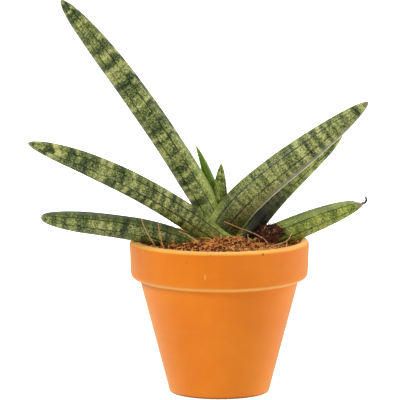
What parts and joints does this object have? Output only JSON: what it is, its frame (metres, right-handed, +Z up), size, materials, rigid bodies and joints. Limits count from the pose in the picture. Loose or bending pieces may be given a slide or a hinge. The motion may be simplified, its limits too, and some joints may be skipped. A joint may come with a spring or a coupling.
{
  "type": "potted snake plant",
  "caption": "Starfish snake plant: a low fan of stout, cylindrical banded leaves in a tapered clay pot with a thick rim, filled with coir and bark mix.",
  "frame": {"origin": "On the surface the pot stands on, under the middle of the whole plant's box. The pot's own axis is 12.7 mm along +X from it.", "axes": "+Z up, X along the fan of leaves with the tall leaf on the -X side, -Y towards the side that the leaves' bases show from"},
  "size_m": [0.2062, 0.1098, 0.2392],
  "materials": {
    "terracotta": "matt fired clay",
    "leaf": "waxy, banded",
    "young_leaf": "waxy",
    "rhizome": "fleshy",
    "potting_mix": "loose coir and bark",
    "bark": "split bark",
    "coir_fibre": "dry fibre"
  },
  "bodies": {
    "root": {"bark_chip_01": "bark", "bark_chip_02": "bark", "bark_chip_03": "bark", "bark_chip_04": "bark", "bark_chip_05": "bark", "bark_chip_06": "bark", "bark_chip_07": "bark", "bark_chip_08": "bark", "bark_chip_09": "bark", "bark_chip_10": "bark", "bark_chip_11": "bark", "bark_chip_12": "bark", "bark_chip_13": "bark", "bark_chip_14": "bark", "coir_fibre_01": "coir_fibre", "coir_fibre_02": "coir_fibre", "coir_fibre_03": "coir_fibre", "coir_fibre_04": "coir_fibre", "coir_fibre_05": "coir_fibre", "coir_fibre_06": "coir_fibre", "coir_fibre_07": "coir_fibre", "coir_fibre_08": "coir_fibre", "coir_fibre_09": "coir_fibre", "coir_heap": "potting_mix", "leaf_low_left": "leaf", "leaf_low_right": "leaf", "leaf_mid_left": "leaf", "leaf_right_back": "leaf", "leaf_right_front": "leaf", "leaf_tall_left": "leaf", "leaf_young_back": "young_leaf", "leaf_young_centre": "young_leaf", "potting_mix": "potting_mix", "rhizome": "rhizome", "root_01": "rhizome", "root_02": "rhizome", "root_03": "rhizome", "root_04": "rhizome", "root_05": "rhizome", "root_06": "rhizome", "root_07": "rhizome", "terracotta_pot": "terracotta"}
  },
  "joints": []
}
